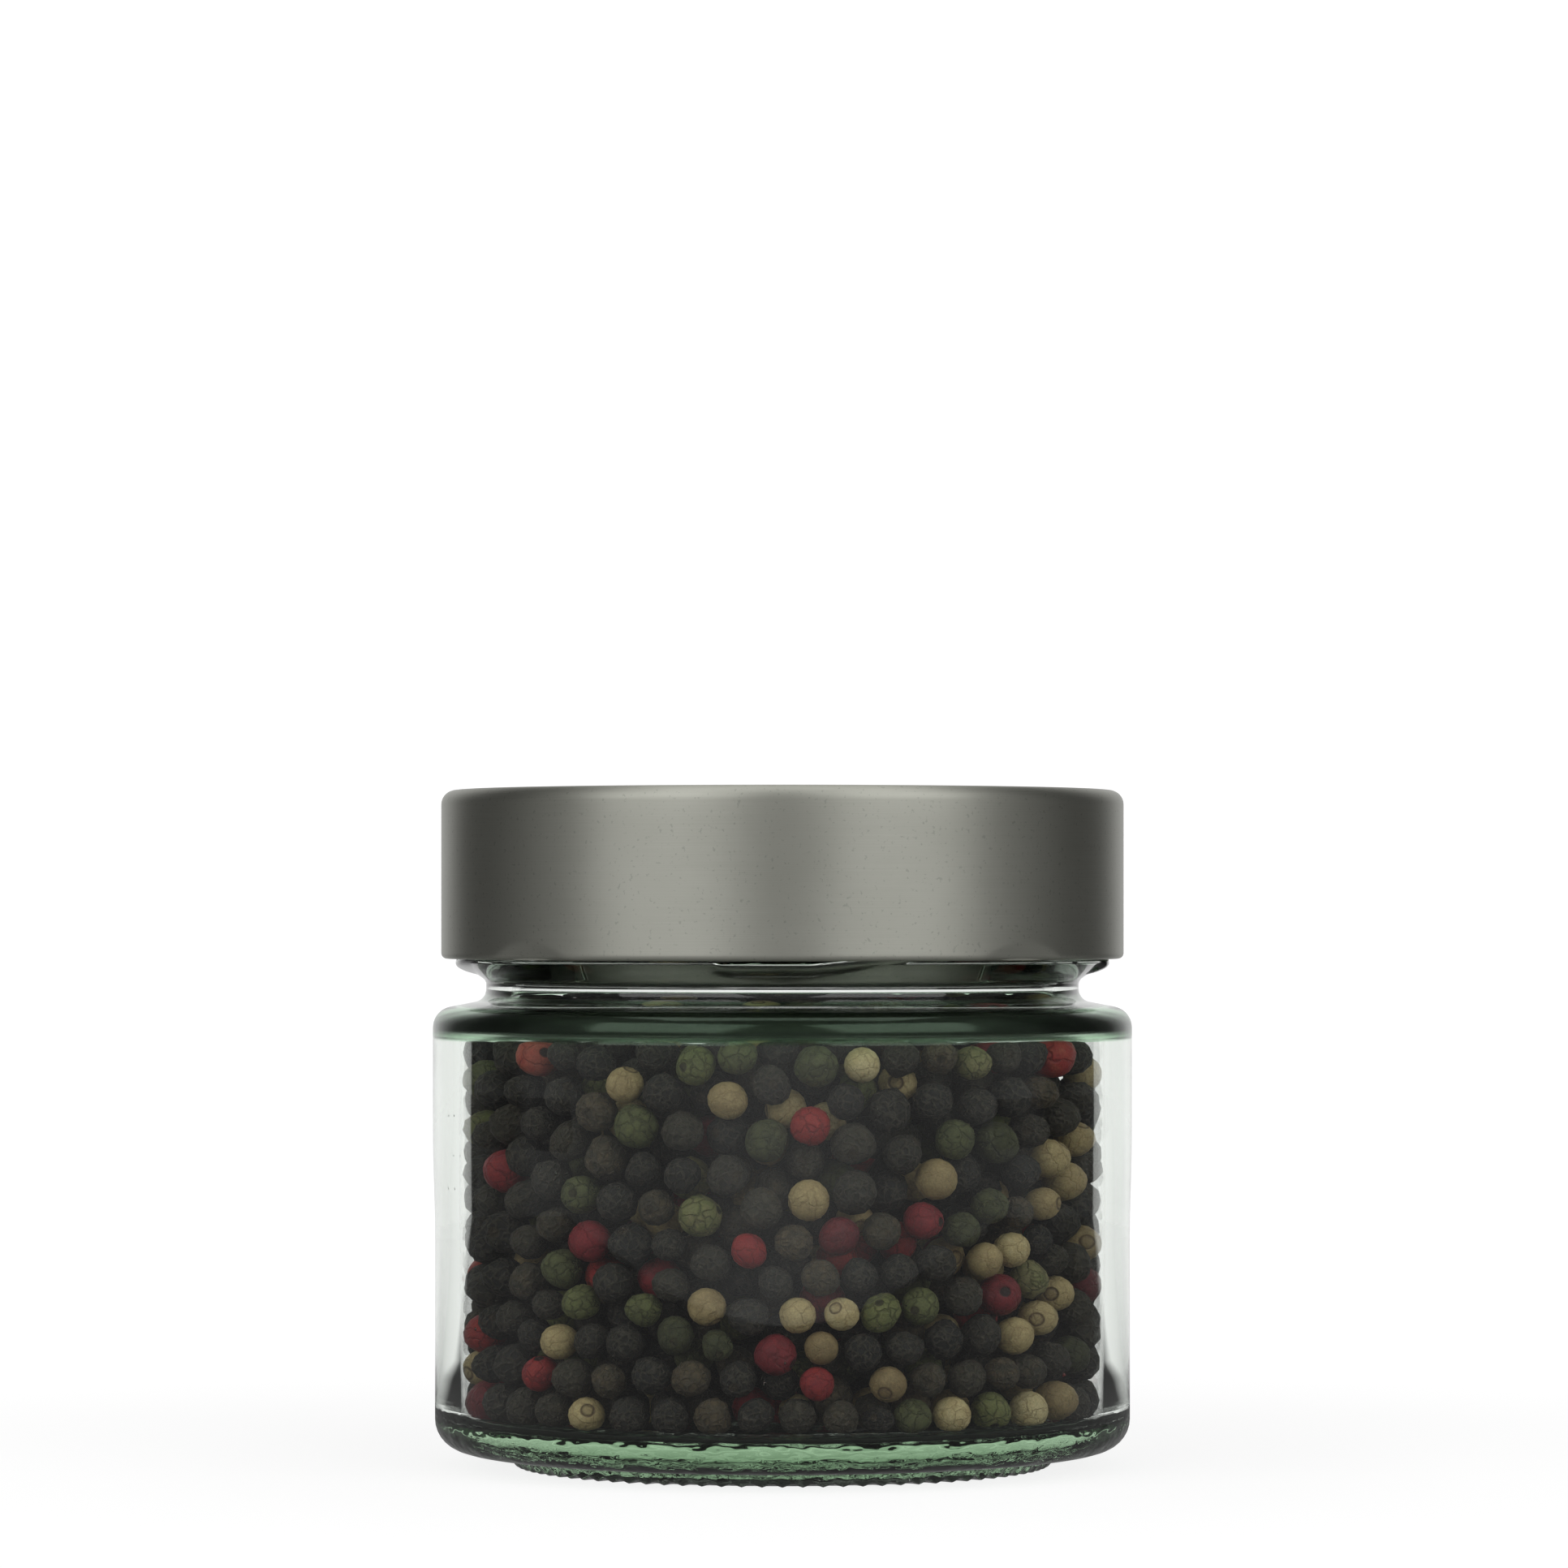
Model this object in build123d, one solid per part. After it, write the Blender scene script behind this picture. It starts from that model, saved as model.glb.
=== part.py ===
from build123d import *
import math
import os
import numpy as np

# A round glass spice jar with a deep twist-off metal cap, full of mixed peppercorns.
# Lengths are in millimetres and angles in degrees, +Z is up, and the front is -Y.
# The origin is the middle of the jar's foot, on the plane that the jar stands on.

# Glass jar, pressed and blown in one piece
JAR_HEIGHT = 69.3
BODY_DIAMETER = 72.9
WALL = 2.65
SHOULDER_BAND_DIAMETER = 73.35
SHOULDER_BAND_HEIGHT = 14.8
BAND_TAPER_HEIGHT = 7.0
BAND_BLEND_RADIUS = 150.0
SHOULDER_CORNER_RADIUS = 2.2
SHOULDER_RISE = 1.1
SHOULDER_THICKNESS = 2.0
INNER_SHOULDER_RADIUS = 1.1
FLOOR_HEIGHT = 4.9
FLOOR_CORNER_RADIUS = 1.3
FLOOR_DOME_RISE = 1.2
HEEL_RADIUS = 3.25

# Neck of the glass, and the finish above it, which the cap closes on
BORE_DIAMETER = 57.0
BORE_FOOT_RADIUS = 3.8
NECK_DIAMETER = 62.2
NECK_HEIGHT = 2.0
NECK_FILLET_RADIUS = 1.4
NECK_UPPER_RADIUS = 0.8
BEAD_DIAMETER = 67.6
BEAD_UNDERCUT_HEIGHT = 1.9
BEAD_EDGE_HEIGHT = 0.3
BEAD_EDGE_RADIUS = 0.12
FINISH_DIAMETER = 66.0
FINISH_HEIGHT = 16.25
LIP_DIAMETER = 64.4
LIP_HEIGHT = 2.3
LIP_SLOPE_HEIGHT = 0.8
LIP_RADIUS = 1.2

# Foot of the glass: a ring to stand on, with short bars all round its outer edge
UNDERSIDE_HEIGHT = 1.75
FOOT_DIAMETER = 58.4
FOOT_WIDTH = 3.9
FOOT_CORNER_RADIUS = 0.7
FOOT_ROOT_RADIUS = 0.3
PUSH_UP_RISE = 1.0
BAR_COUNT = 84
BAR_HEIGHT = 0.35
BAR_REACH = 1.5
BAR_GROOVE_WIDTH = 1.2

# Thread ridges on the finish, each with a level stretch where it starts
THREAD_STARTS = 4
THREAD_LEAD = 20.0
RIDGE_DIAMETER = 68.6
RIDGE_HEIGHT = 2.0
RIDGE_CORNER_CUT = 0.6
RIDGE_ROOT_DEPTH = 0.4
RIDGE_LAP_ANGLE = 1.0
RIDGE_START_ANGLE = -11.0
RIDGE_CLIMB_START_ANGLE = 5.0
RIDGE_END_ANGLE = 78.0
THREAD_CLEARANCE = 0.12

# Cap, drawn from one disc of tinplate, with its lower edge rolled in
CAP_DIAMETER = 71.6
CAP_SHEET = 0.3
CAP_CORNER_RADIUS = 1.5
CAP_LAND_WIDTH = 5.1
PANEL_STEP_WIDTH = 0.7
PANEL_DEPTH = 0.6
CURL_RADIUS = 0.6
CAP_EDGE_CLEARANCE = 0.1

# Lugs of the cap, with the dent that each one's pressing leaves outside
LUG_ANGLE = 43.5
LUG_WIDTH_ANGLE = 11.0
LUG_THICKNESS = 0.62
LUG_TIP_CLEARANCE = 0.35
DENT_RADIUS = 39.0
DENT_RISE = 1.9
DENT_DEPTH = 0.5
DENT_PAD_WIDTH_ANGLE = 22.0
DENT_PAD_MARGIN = 0.4

# Sealing ring, a soft compound run into the channel of the cap
SEAL_THICKNESS = 1.2
SEAL_CORNER_RADIUS = 0.4
SEAL_SIDE_CLEARANCE = 0.3

# Peppercorns: each kind's share of the mix, and its mean diameter
FILL_HEIGHT = 48.5
PEPPERCORN_GAP = 0.08
SIZE_SPREAD_SHARE = 0.08
PACKING_SHARE = 0.62
PEPPERCORN_KINDS = {
    "black_peppercorns": (0.70, 4.65),
    "green_peppercorns": (0.13, 4.55),
    "white_peppercorns": (0.09, 4.25),
    "pink_peppercorns": (0.08, 4.65),
}
# Peppercorns seen through the front of the glass: how far right of the middle, as a share of
# the radius inside, and how high, as a share of the shoulder's height inside. The rest of
# the peppercorns that lie against the front are black.
SEEN_PEPPERCORN_SHARES = {
    "green_peppercorns": [
        (-0.89, 0.89), (-0.89, 0.77), (-0.59, 0.65), (-0.43, 0.79), (-0.25, 0.93), (-0.14, 0.96),
        (-0.04, 0.77), (-0.25, 0.59), (0.1, 0.93), (0.5, 0.77), (0.56, 0.93), (0.63, 0.76),
        (0.62, 0.61), (0.52, 0.56), (-0.64, 0.47), (-0.57, 0.4), (-0.4, 0.39), (-0.3, 0.35),
        (-0.17, 0.3), (0.4, 0.38), (0.29, 0.39), (0.38, 0.16), (0.71, 0.46), (0.85, 0.27),
        (0.61, 0.15),
    ],
    "white_peppercorns": [
        (-0.47, 0.89), (-0.16, 0.85), (0.25, 0.93), (0.91, 0.9), (0.45, 0.68), (0.86, 0.76),
        (0.78, 0.72), (0.83, 0.66), (0.74, 0.6), (0.07, 0.62), (0.68, 0.53), (0.6, 0.5),
        (0.89, 0.51), (0.8, 0.42), (-0.23, 0.4), (0.04, 0.39), (0.17, 0.38), (0.75, 0.37),
        (0.67, 0.32), (0.1, 0.31), (-0.65, 0.31), (-0.91, 0.23), (0.31, 0.22), (0.81, 0.18),
        (-0.58, 0.15), (0.49, 0.15), (0.72, 0.14),
    ],
    "pink_peppercorns": [
        (-0.71, 0.94), (0.78, 0.95), (0.08, 0.8), (-0.93, 0.76), (0.93, 0.7), (-0.81, 0.69),
        (0.39, 0.59), (0.17, 0.56), (-0.57, 0.54), (-0.08, 0.51), (0.89, 0.43), (-0.93, 0.43),
        (0.64, 0.41), (-0.88, 0.31), (-0.02, 0.3), (-0.7, 0.24), (0.09, 0.22), (-0.88, 0.16),
    ],
}
FRONT_LAYER_DEPTH = 3.6
HOLD_SHARE = 0.25
SETTLING_SEED = 7
SETTLING_STEPS = 600
FALLING_STEPS_SHARE = 0.75
FALL_SHARE = 0.012
PUSH_SHARE = 0.7
STEPS_PER_NEIGHBOUR_LIST = 10
NEIGHBOUR_REACH_SHARE = 1.25

CUT_OVERRUN = 1.0
FRONT_ANGLE = -90.0

body_radius = BODY_DIAMETER / 2
band_radius = SHOULDER_BAND_DIAMETER / 2
inner_radius = body_radius - WALL
bore_radius = BORE_DIAMETER / 2
neck_radius = NECK_DIAMETER / 2
bead_radius = BEAD_DIAMETER / 2
finish_radius = FINISH_DIAMETER / 2
lip_radius = LIP_DIAMETER / 2
foot_radius = FOOT_DIAMETER / 2
foot_inner_radius = foot_radius - FOOT_WIDTH

bead_top = JAR_HEIGHT - FINISH_HEIGHT
bead_bottom = bead_top - BEAD_EDGE_HEIGHT
neck_top = bead_bottom - BEAD_UNDERCUT_HEIGHT
shoulder_top = neck_top - NECK_HEIGHT
shoulder_edge = shoulder_top - SHOULDER_RISE
ceiling = shoulder_edge - SHOULDER_THICKNESS
band_bottom = shoulder_edge - SHOULDER_BAND_HEIGHT
lip_bottom = JAR_HEIGHT - LIP_HEIGHT

cap_radius = CAP_DIAMETER / 2
cap_inner_radius = cap_radius - CAP_SHEET
cap_bottom = bead_top + CAP_EDGE_CLEARANCE
cap_top = JAR_HEIGHT + SEAL_THICKNESS + CAP_SHEET
land_outer_radius = cap_radius - CAP_CORNER_RADIUS
land_inner_radius = land_outer_radius - CAP_LAND_WIDTH
panel_radius = land_inner_radius - PANEL_STEP_WIDTH

lug_climb = THREAD_LEAD * (LUG_ANGLE - RIDGE_CLIMB_START_ANGLE) / 360
lug_top = cap_bottom + LUG_THICKNESS
ridge_start_height = lug_top + THREAD_CLEARANCE - lug_climb + RIDGE_HEIGHT / 2


def turned(outline):
    """A solid turned about the jar's axis, from a closed outline in radius and height."""
    return revolve(Plane.XZ * make_face(outline), axis=Axis.Z)


def around(shape, count, first_angle):
    """Copies of a shape, evenly spaced about the jar's axis."""
    return [Rot(0, 0, first_angle + 360 * i / count) * shape for i in range(count)]


def dome_radius(rise, edge_radius):
    """Radius of the ball whose cap is this high and this wide."""
    return (edge_radius**2 + rise**2) / (2 * rise)


def dome(rise, edge_radius, height):
    """A shallow round cap that stands on the given height."""
    arc = RadiusArc((0, height + rise), (edge_radius, height), dome_radius(rise, edge_radius))
    return turned(arc + Polyline((edge_radius, height), (0, height), (0, height + rise)))


def sector(inner, outer, bottom, top, width_angle):
    """Part of an upright ring, centred on +X."""
    outline = Polyline((inner, bottom), (outer, bottom), (outer, top), (inner, top), close=True)
    block = revolve(Plane.XZ * make_face(outline), axis=Axis.Z, revolution_arc=width_angle)
    return Rot(0, 0, -width_angle / 2) * block


def glass_outline():
    """Half section of the glass: each corner is its radius, its height and its rounding.

    The corner above the bead is left sharp, because the thread ridges run out through it."""
    corners = [
        (foot_inner_radius, UNDERSIDE_HEIGHT, FOOT_ROOT_RADIUS),
        (foot_inner_radius, BAR_HEIGHT, FOOT_CORNER_RADIUS),
        (foot_radius, BAR_HEIGHT, FOOT_CORNER_RADIUS),
        (foot_radius, UNDERSIDE_HEIGHT, FOOT_ROOT_RADIUS),
        (body_radius, UNDERSIDE_HEIGHT, HEEL_RADIUS),
        (body_radius, band_bottom - BAND_TAPER_HEIGHT, BAND_BLEND_RADIUS),
        (band_radius, band_bottom, BAND_BLEND_RADIUS),
        (band_radius, shoulder_edge, SHOULDER_CORNER_RADIUS),
        (neck_radius, shoulder_top, NECK_FILLET_RADIUS),
        (neck_radius, neck_top, NECK_UPPER_RADIUS),
        (bead_radius, bead_bottom, BEAD_EDGE_RADIUS),
        (bead_radius, bead_top, BEAD_EDGE_RADIUS),
        (finish_radius, bead_top, 0),
        (finish_radius, lip_bottom, LIP_RADIUS),
        (lip_radius, lip_bottom + LIP_SLOPE_HEIGHT, BEAD_EDGE_RADIUS),
        (lip_radius, JAR_HEIGHT, LIP_RADIUS),
        (bore_radius, JAR_HEIGHT, LIP_RADIUS),
        (bore_radius, ceiling, BORE_FOOT_RADIUS),
        (inner_radius, ceiling, INNER_SHOULDER_RADIUS),
        (inner_radius, FLOOR_HEIGHT, FLOOR_CORNER_RADIUS),
    ]
    under_middle = (0, UNDERSIDE_HEIGHT)
    floor_middle = (0, FLOOR_HEIGHT)
    points = [under_middle] + [corner[:2] for corner in corners] + [floor_middle]
    wall = FilletPolyline(*points, radius=[corner[2] for corner in corners])
    return wall + Line(floor_middle, under_middle)


def foot_bars():
    """The slice of the foot that touches the ground: a flat ring with bars round its edge."""
    inner = foot_inner_radius + FOOT_CORNER_RADIUS
    outer = foot_radius - FOOT_CORNER_RADIUS
    groove_outer = outer + CUT_OVERRUN
    groove_length = groove_outer - (outer - BAR_REACH)
    groove = Pos(groove_outer - groove_length / 2, 0) * SlotOverall(
        groove_length + BAR_GROOVE_WIDTH, BAR_GROOVE_WIDTH
    )
    ring = Circle(outer) - Circle(inner) - around(groove, BAR_COUNT, 0)
    return extrude(ring, BAR_HEIGHT)


def thread_ridge():
    """A ridge that starts level, beside the bead, and then climbs along the thread."""
    root = -RIDGE_ROOT_DEPTH
    crest = RIDGE_DIAMETER / 2 - finish_radius
    half = RIDGE_HEIGHT / 2
    section = make_face(
        Polyline(
            (root, -half),
            (crest - RIDGE_CORNER_CUT, -half),
            (crest, RIDGE_CORNER_CUT - half),
            (crest, half - RIDGE_CORNER_CUT),
            (crest - RIDGE_CORNER_CUT, half),
            (root, half),
            close=True,
        )
    )
    level_angle = RIDGE_CLIMB_START_ANGLE - RIDGE_START_ANGLE
    climb_height = THREAD_LEAD * (RIDGE_END_ANGLE - RIDGE_CLIMB_START_ANGLE) / 360
    upright = Plane.XZ * Pos(finish_radius, 0) * section
    level = revolve(upright, axis=Axis.Z, revolution_arc=level_angle + RIDGE_LAP_ANGLE)
    helix = Helix(pitch=THREAD_LEAD, height=climb_height, radius=finish_radius)
    start = Plane(origin=helix @ 0, x_dir=(1, 0, 0), z_dir=-(helix % 0))
    climb = sweep(start * section, path=helix, is_frenet=True)
    return Pos(0, 0, ridge_start_height) * (level + Rot(0, 0, level_angle) * climb)


def make_glass_jar():
    """The glass: a turned body with four thread ridges and a barred foot."""
    floor_dome = dome(FLOOR_DOME_RISE, inner_radius - FLOOR_CORNER_RADIUS, FLOOR_HEIGHT)
    push_up = dome(PUSH_UP_RISE, foot_inner_radius - FOOT_ROOT_RADIUS, UNDERSIDE_HEIGHT)
    ridges = around(thread_ridge(), THREAD_STARTS, FRONT_ANGLE + RIDGE_START_ANGLE)
    return turned(glass_outline()) + floor_dome - push_up + foot_bars() + ridges


def cap_outline():
    """Half section of the sheet: sunk panel, flat land, skirt, and the roll at its edge."""
    corner = (land_outer_radius, cap_top - CAP_CORNER_RADIUS)
    curl = (cap_radius - CURL_RADIUS, cap_bottom + CURL_RADIUS)
    meeting = math.acos((CURL_RADIUS - CAP_SHEET) / CURL_RADIUS)
    curl_end = (cap_inner_radius, curl[1] + CURL_RADIUS * math.sin(meeting))
    panel_top = cap_top - PANEL_DEPTH
    return (
        Polyline(
            (0, panel_top),
            (panel_radius, panel_top),
            (land_inner_radius, cap_top),
            (land_outer_radius, cap_top),
        )
        + CenterArc(corner, CAP_CORNER_RADIUS, 90, -90)
        + Line((cap_radius, corner[1]), (cap_radius, curl[1]))
        + CenterArc(curl, CURL_RADIUS, 0, math.degrees(meeting) - 360)
        + Line(curl_end, (cap_inner_radius, corner[1]))
        + CenterArc(corner, CAP_CORNER_RADIUS - CAP_SHEET, 0, 90)
        + Polyline(
            (land_outer_radius, cap_top - CAP_SHEET),
            (land_inner_radius, cap_top - CAP_SHEET),
            (panel_radius, panel_top - CAP_SHEET),
            (0, panel_top - CAP_SHEET),
            (0, panel_top),
        )
    )


def cap_lug():
    """A tongue under a thread ridge, with its top sloped as the thread climbs."""
    tip_radius = finish_radius + LUG_TIP_CLEARANCE
    root_radius = cap_radius - DENT_DEPTH
    tongue = sector(tip_radius, root_radius, cap_bottom, cap_top, LUG_WIDTH_ANGLE)
    slope = math.degrees(math.atan(THREAD_LEAD / (2 * math.pi * tip_radius)))
    below_thread = Pos(tip_radius, 0, lug_top) * Rot(slope, 0, 0) * Box(
        CAP_DIAMETER, CAP_DIAMETER, CAP_DIAMETER, align=(Align.CENTER, Align.CENTER, Align.MAX)
    )
    return tongue & below_thread


def dent_pad():
    """The metal behind a dent, which the pressing pushed in."""
    inner = cap_radius - 2 * CURL_RADIUS
    outer = cap_inner_radius + CAP_SHEET / 2
    top = cap_bottom + DENT_RISE + DENT_PAD_MARGIN
    return sector(inner, outer, cap_bottom + CURL_RADIUS, top, DENT_PAD_WIDTH_ANGLE)


def dent_tool():
    """The round bar, lying across the skirt, whose side leaves the dent."""
    drop = (2 * DENT_RADIUS * DENT_DEPTH / DENT_RISE - DENT_RISE) / 2
    off_skirt = math.sqrt(DENT_RADIUS**2 - (drop + DENT_RISE) ** 2)
    bar = Rot(90, 0, 0) * Cylinder(DENT_RADIUS, CAP_DIAMETER)
    return Pos(cap_radius + off_skirt, 0, cap_bottom - drop) * bar


def make_twist_cap():
    """The metal cap: turned sheet, four lugs and a dent outside each of them."""
    first_angle = FRONT_ANGLE + LUG_ANGLE
    backed = turned(cap_outline()) + around(dent_pad(), THREAD_STARTS, first_angle)
    dented = backed - around(dent_tool(), THREAD_STARTS, first_angle)
    return dented + around(cap_lug(), THREAD_STARTS, first_angle)


def make_sealing_ring():
    """The compound ring, flat where it meets the rim and the cap."""
    inner = land_inner_radius + SEAL_SIDE_CLEARANCE
    outer = land_outer_radius - SEAL_SIDE_CLEARANCE
    middle = Pos((inner + outer) / 2, JAR_HEIGHT + SEAL_THICKNESS / 2)
    section = middle * Rectangle(outer - inner, SEAL_THICKNESS)
    lower_corners = section.vertices().sort_by(Axis.Y)[:2]
    return revolve(Plane.XZ * fillet(lower_corners, SEAL_CORNER_RADIUS), axis=Axis.Z)


def keep_in_corner(radial, height, corner_radial, corner_height, rounding, upward):
    """Moves centres out of a rounded inside corner, where the glass turns the peppercorns in."""
    across = radial - corner_radial
    along = upward * (height - corner_height)
    distance = np.hypot(across, along)
    outside = (across > 0) & (along > 0) & (distance > rounding)
    share = np.where(outside, rounding / np.maximum(distance, PEPPERCORN_GAP), 1.0)
    radial = np.where(outside, corner_radial + across * share, radial)
    height = np.where(outside, corner_height + upward * along * share, height)
    return radial, height


def keep_in_glass(centre, keep_off):
    """Moves each centre to where it is at least keep_off from the inside of the glass."""
    radial = np.maximum(np.hypot(centre[:, 0], centre[:, 1]), PEPPERCORN_GAP)
    height = centre[:, 2]
    turn = centre[:, :2] / radial[:, None]

    ball = dome_radius(FLOOR_DOME_RISE, inner_radius - FLOOR_CORNER_RADIUS)
    ball_height = FLOOR_HEIGHT + FLOOR_DOME_RISE - ball
    floor = ball_height + np.sqrt((ball + keep_off) ** 2 - radial**2)
    height = np.maximum(height, np.maximum(floor, FLOOR_HEIGHT + keep_off))

    edge_radial = bore_radius + BORE_FOOT_RADIUS
    edge_height = ceiling + BORE_FOOT_RADIUS
    in_neck = height > edge_height
    radial = np.minimum(radial, np.where(in_neck, bore_radius, inner_radius) - keep_off)
    under_ledge = ~in_neck & (radial > edge_radial)
    height = np.where(under_ledge, np.minimum(height, ceiling - keep_off), height)
    off_edge = np.maximum(np.hypot(radial - edge_radial, height - edge_height), PEPPERCORN_GAP)
    touching = ~in_neck & (radial <= edge_radial) & (off_edge < BORE_FOOT_RADIUS + keep_off)
    share = np.where(touching, (BORE_FOOT_RADIUS + keep_off) / off_edge, 1.0)
    radial = edge_radial + (radial - edge_radial) * share
    height = edge_height + (height - edge_height) * share

    for rounding, level, upward in (
        (INNER_SHOULDER_RADIUS, ceiling, 1),
        (FLOOR_CORNER_RADIUS, FLOOR_HEIGHT, -1),
    ):
        inset = np.maximum(rounding, keep_off)
        radial, height = keep_in_corner(
            radial, height, inner_radius - inset, level - upward * inset, inset - keep_off, upward
        )
    return np.column_stack([turn * radial[:, None], height])


def near_pairs(centre, reach):
    """The pairs of peppercorns whose centres are within reach."""
    squares = (centre**2).sum(axis=1)
    square_apart = squares[:, None] + squares[None, :] - 2 * centre @ centre.T
    first, second = np.nonzero(np.triu(square_apart < reach**2, 1))
    return first, second


def pushes(centre, radius, first, second):
    """The move that parts each pair by half of what it is too close, and that amount."""
    apart = centre[first] - centre[second]
    distance = np.maximum(np.linalg.norm(apart, axis=1), PEPPERCORN_GAP)
    overlap = np.maximum(radius[first] + radius[second] + PEPPERCORN_GAP - distance, 0)
    return apart * (overlap / 2 / distance)[:, None], overlap


def seen_places(kinds, diameters):
    """The kind of each peppercorn that is seen from the front, and its centre at the glass."""
    kind = [kinds.index(name) for name, shares in SEEN_PEPPERCORN_SHARES.items() for _ in shares]
    shares = np.array([pair for shares in SEEN_PEPPERCORN_SHARES.values() for pair in shares])
    lie_radius = inner_radius - diameters[kind] / 2
    across = np.clip(shares[:, 0] * inner_radius, -lie_radius, lie_radius)
    forward = -np.sqrt(lie_radius**2 - across**2)
    return np.array(kind), np.column_stack([across, forward, shares[:, 1] * ceiling])


def settled_bed():
    """Drops the peppercorns in at random, and lets them push one another apart as they fall.

    The ones seen from the front are held near their places meanwhile. Returns the kinds,
    centres and radii, with a gap between all. The bed is the same at every run."""
    chance = np.random.default_rng(SETTLING_SEED)
    shares = np.array([share for share, diameter in PEPPERCORN_KINDS.values()])
    diameters = np.array([diameter for share, diameter in PEPPERCORN_KINDS.values()])
    shares = shares / shares.sum()
    space = inner_radius**2 * (ceiling - FLOOR_HEIGHT) + bore_radius**2 * (FILL_HEIGHT - ceiling)
    count = round(PACKING_SHARE * math.pi * space / (math.pi / 6 * shares @ diameters**3))

    kind = chance.choice(len(shares), size=count, p=shares)
    spread = 1 + SIZE_SPREAD_SHARE * chance.uniform(-1, 1, count)
    radius = diameters[kind] / 2 * spread
    turn = chance.uniform(0, 2 * math.pi, count)
    radial = inner_radius * np.sqrt(chance.uniform(0, 1, count))
    height = chance.uniform(FLOOR_HEIGHT, FILL_HEIGHT, count)
    centre = np.column_stack([radial * np.cos(turn), radial * np.sin(turn), height])
    seen_kind, seen_centre = seen_places(list(PEPPERCORN_KINDS), diameters)
    held = slice(len(seen_kind))
    kind[held], centre[held] = seen_kind, seen_centre
    radius[held] = diameters[seen_kind] / 2 * spread[held]
    reach = NEIGHBOUR_REACH_SHARE * 2 * radius.max()
    falling_steps = FALLING_STEPS_SHARE * SETTLING_STEPS

    for step in range(SETTLING_STEPS):
        if step % STEPS_PER_NEIGHBOUR_LIST == 0:
            first, second = near_pairs(centre, reach)
        centre[:, 2] -= FALL_SHARE * max(0, 1 - step / falling_steps) * radius
        centre[held] += HOLD_SHARE * (seen_centre - centre[held])
        push, overlap = pushes(centre, radius, first, second)
        np.add.at(centre, first, PUSH_SHARE * push)
        np.add.at(centre, second, -PUSH_SHARE * push)
        centre = keep_in_glass(centre, radius + PEPPERCORN_GAP)

    first, second = near_pairs(centre, reach)
    push, overlap = pushes(centre, radius, first, second)
    room = radius.copy()
    np.minimum.at(room, first, radius[first] - overlap / 2)
    np.minimum.at(room, second, radius[second] - overlap / 2)
    against_front = np.hypot(centre[:, 0], centre[:, 1]) > inner_radius - FRONT_LAYER_DEPTH
    against_front &= centre[:, 1] < 0
    against_front[held] = False
    kind[against_front] = list(PEPPERCORN_KINDS).index("black_peppercorns")
    kept = centre[:, 2] + room < FILL_HEIGHT
    return kind[kept], centre[kept], room[kept]


def make_peppercorns():
    """One group of balls for each kind of peppercorn."""
    kind, centre, radius = settled_bed()
    groups = {}
    for number, name in enumerate(PEPPERCORN_KINDS):
        mine = np.nonzero(kind == number)[0]
        balls = [Pos(*map(float, centre[i])) * Solid.make_sphere(float(radius[i])) for i in mine]
        groups[name] = Compound(balls)
    return groups


pieces = {
    "glass_jar": make_glass_jar(),
    "twist_cap": make_twist_cap(),
    "sealing_ring": make_sealing_ring(),
    **make_peppercorns(),
}
os.makedirs("parts", exist_ok=True)
for name, piece in pieces.items():
    export_step(piece, f"parts/{name}.step")
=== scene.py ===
import bpy
import bmesh
import math
import numpy as np
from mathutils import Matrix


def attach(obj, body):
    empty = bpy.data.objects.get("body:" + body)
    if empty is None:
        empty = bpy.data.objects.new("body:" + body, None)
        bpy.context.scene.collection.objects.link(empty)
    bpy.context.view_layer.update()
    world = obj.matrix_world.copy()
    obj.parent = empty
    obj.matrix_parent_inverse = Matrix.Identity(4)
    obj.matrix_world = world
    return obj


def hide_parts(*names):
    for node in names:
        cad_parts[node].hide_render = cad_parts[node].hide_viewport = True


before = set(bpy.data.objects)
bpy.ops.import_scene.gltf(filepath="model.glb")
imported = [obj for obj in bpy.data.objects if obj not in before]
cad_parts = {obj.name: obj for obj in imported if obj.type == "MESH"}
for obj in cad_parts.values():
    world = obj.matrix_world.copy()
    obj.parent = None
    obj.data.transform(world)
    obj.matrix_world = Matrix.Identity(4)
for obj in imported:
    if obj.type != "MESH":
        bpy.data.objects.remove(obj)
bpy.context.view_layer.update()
scene = bpy.context.scene
scene.view_settings.view_transform = "Standard"


# Viewpoint
# The jar is looked at level from 0.69 m, at the height of its lid, through a long lens that
# is shifted up, so that the jar stands low in the frame.
EYE_DISTANCE, EYE_HEIGHT = 0.690, 0.05896

viewpoint = bpy.data.cameras.new("viewpoint")
viewpoint.sensor_width = 36
viewpoint.lens = 150.8
viewpoint.shift_x = 0.001
viewpoint.shift_y = 0.076
camera = bpy.data.objects.new("viewpoint", viewpoint)
camera.location = (0, -EYE_DISTANCE, EYE_HEIGHT)
camera.rotation_euler = (math.pi / 2, 0, 0)
scene.collection.objects.link(camera)
scene.camera = camera


# Glass jar
# One piece of clear, faintly green glass, blown in a mould. Its wall is a little wavy and
# holds small seeds of gas, its thick base is mottled and its shoulder dull where the mould
# chilled them, and its foot is pressed with a ring of short bars.
MM = 0.001
SHORTEST_RUN = 1e-4
SAME_PLACE = 2e-6
JAR_STEPS_AROUND = 420
BAR_COUNT, BAR_DEPTH, BAR_BLUNTNESS = 84, 0.32, 0.8
BARS_FROM, BARS_RISE = 26.0, 0.8
BARS_TO, BARS_FALL = 29.4, 0.7
FOOT_TOP = 1.7
FINISH_RADIUS, FINISH_OUTSIDE = 33.0, 31.0
FINISH_FROM, FINISH_TO = 50.9, 68.0
THREAD_LEAD = 20.0
RIDGE_COUNT, RIDGE_SPACING, RIDGE_REACH = 4, 90, 146
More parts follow.
